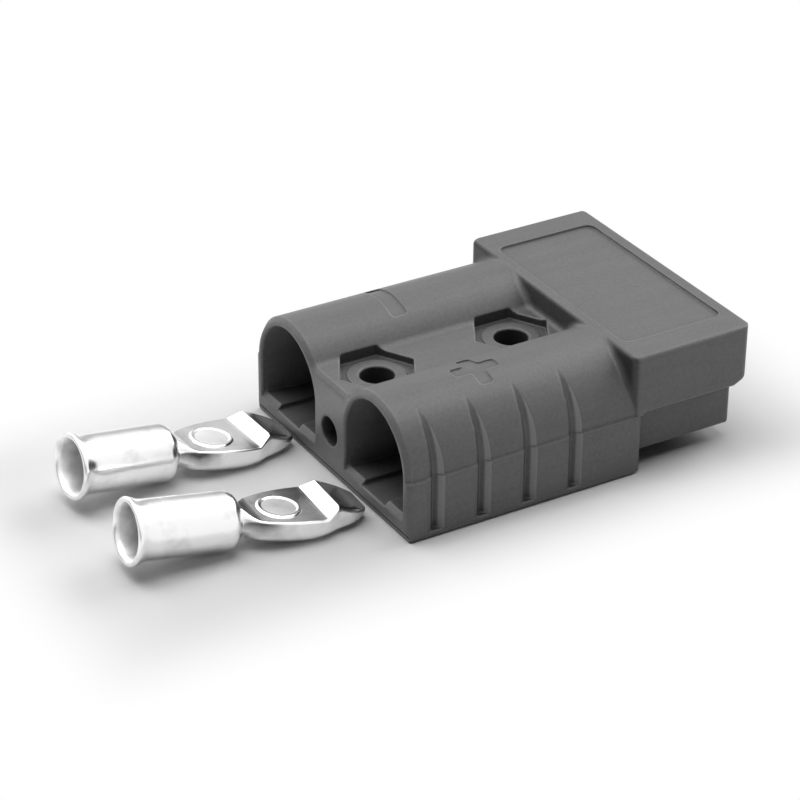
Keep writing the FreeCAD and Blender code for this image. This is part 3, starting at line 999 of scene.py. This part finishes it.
# %% Contact plating
PLATING_DARK = 0.1
PLATING_LIGHT = 0.95
LIGHT_FROM = 0.85
MAIN_TINT = 0.4
MAIN_ROUGH = 0.14
CLOUD_ROUGH = 0.2
CLOUDS_PER_METRE = 320.0
CLOUD_DETAIL = 4.0
DENTS_PER_METRE = 700.0
DENT_DEPTH = 0.06
SCRATCHES_PER_METRE = 3200.0
SCRATCH_DEPTH = 0.02
BUMP_STRENGTH = 0.3
BORE_DULL = 0.22
BORE_ROUGH = 0.35
DARK_REFLECTION_TINT = 1.0
DARK_REFLECTION_ROUGH = 0.15
DISC_ROUGH = 0.13


def carried(tree, name):
    """An attribute of the mesh as a value."""
    node = tree.nodes.new("ShaderNodeAttribute")
    node.attribute_name = name
    return node.outputs["Fac"]


def bump_node(tree, height, depth):
    """A bump as deep as this many mm."""
    node = tree.nodes.new("ShaderNodeBump")
    node.inputs["Strength"].default_value = BUMP_STRENGTH
    node.inputs["Distance"].default_value = depth * MM
    tree.links.new(height, node.inputs["Height"])
    return node


def make_plating():
    material, tree, shader = new_material("silver_plating")
    place = object_place(tree)
    cloud = noise_node(tree, place, CLOUDS_PER_METRE, CLOUD_DETAIL)
    bore, dark_reflection, disc = (carried(tree, name) for name in ("wire_bore", "painted_dark_reflection", "rough_disc"))
    rough = math_node(tree, "MULTIPLY_ADD", cloud, CLOUD_ROUGH, MAIN_ROUGH)
    for mask, amount in ((bore, BORE_ROUGH), (dark_reflection, DARK_REFLECTION_ROUGH), (disc, DISC_ROUGH)):
        rough = math_node(tree, "MULTIPLY_ADD", mask, amount, rough)
    tint = math_node(tree, "ADD", cloud, MAIN_TINT)
    # A painted dark reflection takes the tint down on the blade's sides and tip.
    for mask, amount in ((bore, -BORE_DULL), (dark_reflection, -DARK_REFLECTION_TINT)):
        tint = math_node(tree, "MULTIPLY_ADD", mask, amount, tint)
    dents = bump_node(tree, noise_node(tree, place, DENTS_PER_METRE), DENT_DEPTH)
    scratches = bump_node(tree, noise_node(tree, place, SCRATCHES_PER_METRE), SCRATCH_DEPTH)
    colour = ramp_node(tree, tint, PLATING_DARK, PLATING_LIGHT, 0.0, LIGHT_FROM)
    wire(
        tree,
        (dents.outputs["Normal"], scratches.inputs["Normal"]),
        (scratches.outputs["Normal"], shader.inputs["Normal"]),
        (colour, shader.inputs["Base Color"]),
        (rough, shader.inputs["Roughness"]),
    )
    shader.inputs["Metallic"].default_value = 1.0
    return material


silver_plating = make_plating()
print("material", silver_plating.name)

# %% [markdown]
# The leaf springs are cut from rolled strip, whose fine lines run along its length. Here that
# is along X, so the noise is stretched that way and drives the roughness only.

# %% Spring strip
STRIP_COLOUR = (0.6, 0.6, 0.59, 1)
STRIP_LINES_PER_METRE = (60.0, 4000.0, 4000.0)
STRIP_ROUGH_LEAST = 0.22
STRIP_ROUGH_SPREAD = 0.2


def make_spring_steel():
    material, tree, shader = new_material("spring_strip")
    lines = streak_node(tree, object_place(tree), STRIP_LINES_PER_METRE)
    rough = math_node(tree, "MULTIPLY_ADD", lines, STRIP_ROUGH_SPREAD, STRIP_ROUGH_LEAST)
    tree.links.new(rough, shader.inputs["Roughness"])
    shader.inputs["Base Color"].default_value = STRIP_COLOUR
    shader.inputs["Metallic"].default_value = 1.0
    return material


spring_strip = make_spring_steel()
print("material", spring_strip.name)

# %% [markdown]
# A CAD node whose shape is already right keeps it and only gets its finish, in the slots that
# it has. The hidden nodes, for which the modelled pieces stand, get theirs too, so that
# nothing in the file is left plain.

# %% Dress the pieces
def dress(piece, material):
    """Puts the material in each slot of a piece, or in a first one."""
    if not piece.material_slots:
        piece.data.materials.append(None)
    for place in piece.material_slots:
        place.material = material


for piece in (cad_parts["housing"], skin):
    dress(piece, grey_moulding)
for side in ("near", "far"):
    dress(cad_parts["contact_" + side], silver_plating)
    dress(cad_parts["spring_" + side], spring_strip)
for piece in (contact, second):
    dress(piece, silver_plating)
print("dressed", len(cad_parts), "CAD nodes and 3 modelled pieces")

# %% [markdown]
# The table is white card, which keeps the soft shadows close to the pieces and fades to pure
# white further out, as in a catalogue picture. The fade is a matter of colour: to the camera
# and to reflections the far part is a plain white glow. For all other light it stays card, so
# the glow adds nothing to the light on the pieces. How far a point is from the pieces is
# taken from one rounded box around them all.

# %% Table
TABLE_WIDE = 3000.0
CARD_WHITE = 0.76
CARD_ROUGH = 0.8
CARD_SHINE = 0.1
PIECES_MIDDLE = (-5.0, 0.0)
PIECES_REACH = (41.0, 16.5)
PIECES_ROUND = 8.0
FADE_START = 1.0
FADE_END = 16.0


def seen_directly(tree):
    """1 for camera, mirror and glass rays, 0 for light that bounces."""
    paths = tree.nodes.new("ShaderNodeLightPath")
    seen = math_node(tree, "MAXIMUM", paths.outputs["Is Camera Ray"], paths.outputs["Is Glossy Ray"])
    return math_node(tree, "MAXIMUM", seen, paths.outputs["Is Transmission Ray"])


def make_table():
    deselect_all()
    bpy.ops.mesh.primitive_plane_add(size=TABLE_WIDE * MM, location=(0, 0, 0))
    table = bpy.context.object
    table.name = "table_top"
    material, tree, shader = new_material("white_table")
    x, y = object_axes(tree)
    away = bar_distance(tree, x, y, PIECES_MIDDLE, PIECES_REACH, PIECES_ROUND)
    fade = smooth_range(tree, away, FADE_START * MM, FADE_END * MM)
    glow = tree.nodes.new("ShaderNodeEmission")
    blend = tree.nodes.new("ShaderNodeMixShader")
    wire(
        tree,
        (math_node(tree, "MULTIPLY", fade, seen_directly(tree)), blend.inputs["Fac"]),
        (shader.outputs["BSDF"], blend.inputs[1]),
        (glow.outputs["Emission"], blend.inputs[2]),
        (blend.outputs["Shader"], tree.nodes["Material Output"].inputs["Surface"]),
    )
    shader.inputs["Base Color"].default_value = (CARD_WHITE, CARD_WHITE, CARD_WHITE, 1)
    shader.inputs["Roughness"].default_value = CARD_ROUGH
    shader.inputs["Specular IOR Level"].default_value = CARD_SHINE
    table.data.materials.append(material)


make_table()
print("table fades to white over", FADE_END, "mm around the pieces")

# %% [markdown]
# Four softboxes stand around the pieces: one overhead, one at the mating end and two behind.
# The one behind on the left reaches the rear face and the risers of the grooves. None shines
# straight into the wire channels, so these stay dark. White card returns the rest from below.
# A square lamp makes the same kind of light as a studio softbox.

# %% Lamps
SOFTBOX_SIZE = 0.5
SOFTBOXES = (
    # name, place in metres, watts
    ("top_softbox", (0.0, 0.0, 0.75), 3.0),
    ("mating_end_softbox", (0.6, 0.1, 0.4), 2.8),
    ("back_left_softbox", (-0.3, 0.34, 0.6), 1.9),
    ("back_low_softbox", (-0.02, 0.63, 0.3), 1.0),
)


def add_softbox(name, place, watts):
    """A square lamp that looks at the origin."""
    deselect_all()
    bpy.ops.object.light_add(type="AREA", location=place)
    lamp = bpy.context.object
    lamp.name = name
    lamp.data.size = SOFTBOX_SIZE
    lamp.data.energy = watts
    lamp.rotation_mode = "QUATERNION"
    lamp.rotation_quaternion = (-Vector(place)).to_track_quat("-Z", "Y")
    print(name, round(Vector(place).length, 2), "m away,", watts, "W")


for name, place, watts in SOFTBOXES:
    add_softbox(name, place, watts)

# %% [markdown]
# The world stands for the white room. The camera sees pure white. Mirror rays see a room that
# is white too, apart from a grey band low behind the pieces and on the cable side. The band
# gives the flat pads of the contacts their grey, and keeps the shape of the barrels when they
# are seen from the mating end. Light that bounces sees only a trace of glow.

# %% World
AMBIENT = 0.02
HORIZON = 0.45
BEHIND_WAY = (0.63, 0.77, 0.0)
# Parts of a direction along each way, at 0 and at 1 of the band.
BAND_HEIGHT = (0.58, 0.32)
BEHIND_REACH = (0.3, 0.7)
CABLE_SIDE_REACH = (-0.15, -0.6)


def make_world():
    world = bpy.data.worlds.new("studio")
    bpy.context.scene.world = world
    world.use_nodes = True
    tree = world.node_tree
    paths = tree.nodes.new("ShaderNodeLightPath")
    glossy = math_node(tree, "MAXIMUM", paths.outputs["Is Glossy Ray"], paths.outputs["Is Transmission Ray"])
    room = tree.nodes.new("ShaderNodeTexCoord").outputs["Generated"]
    split = tree.nodes.new("ShaderNodeSeparateXYZ")
    behind = tree.nodes.new("ShaderNodeVectorMath")
    behind.operation = "DOT_PRODUCT"
    behind.inputs[1].default_value = BEHIND_WAY
    wire(tree, (room, split.inputs["Vector"]), (room, behind.inputs[0]))
    low = smooth_range(tree, split.outputs["Z"], *BAND_HEIGHT)
    behind_pieces = smooth_range(tree, behind.outputs["Value"], *BEHIND_REACH)
    cable_side = smooth_range(tree, split.outputs["X"], *CABLE_SIDE_REACH)
    band = math_node(tree, "MULTIPLY", low, math_node(tree, "MAXIMUM", behind_pieces, cable_side))
    mirror = math_node(tree, "MULTIPLY_ADD", band, HORIZON - 1.0, 1.0)
    mirrored = math_node(tree, "MULTIPLY", glossy, mirror)
    level = math_node(tree, "ADD", mirrored, paths.outputs["Is Camera Ray"])
    level = math_node(tree, "ADD", level, AMBIENT)
    tree.links.new(level, tree.nodes["Background"].inputs["Strength"])
    tree.nodes["Background"].inputs["Color"].default_value = (1, 1, 1, 1)


make_world()
bpy.context.scene.view_settings.view_transform = "Standard"
print("world glow", AMBIENT, "horizon", HORIZON)
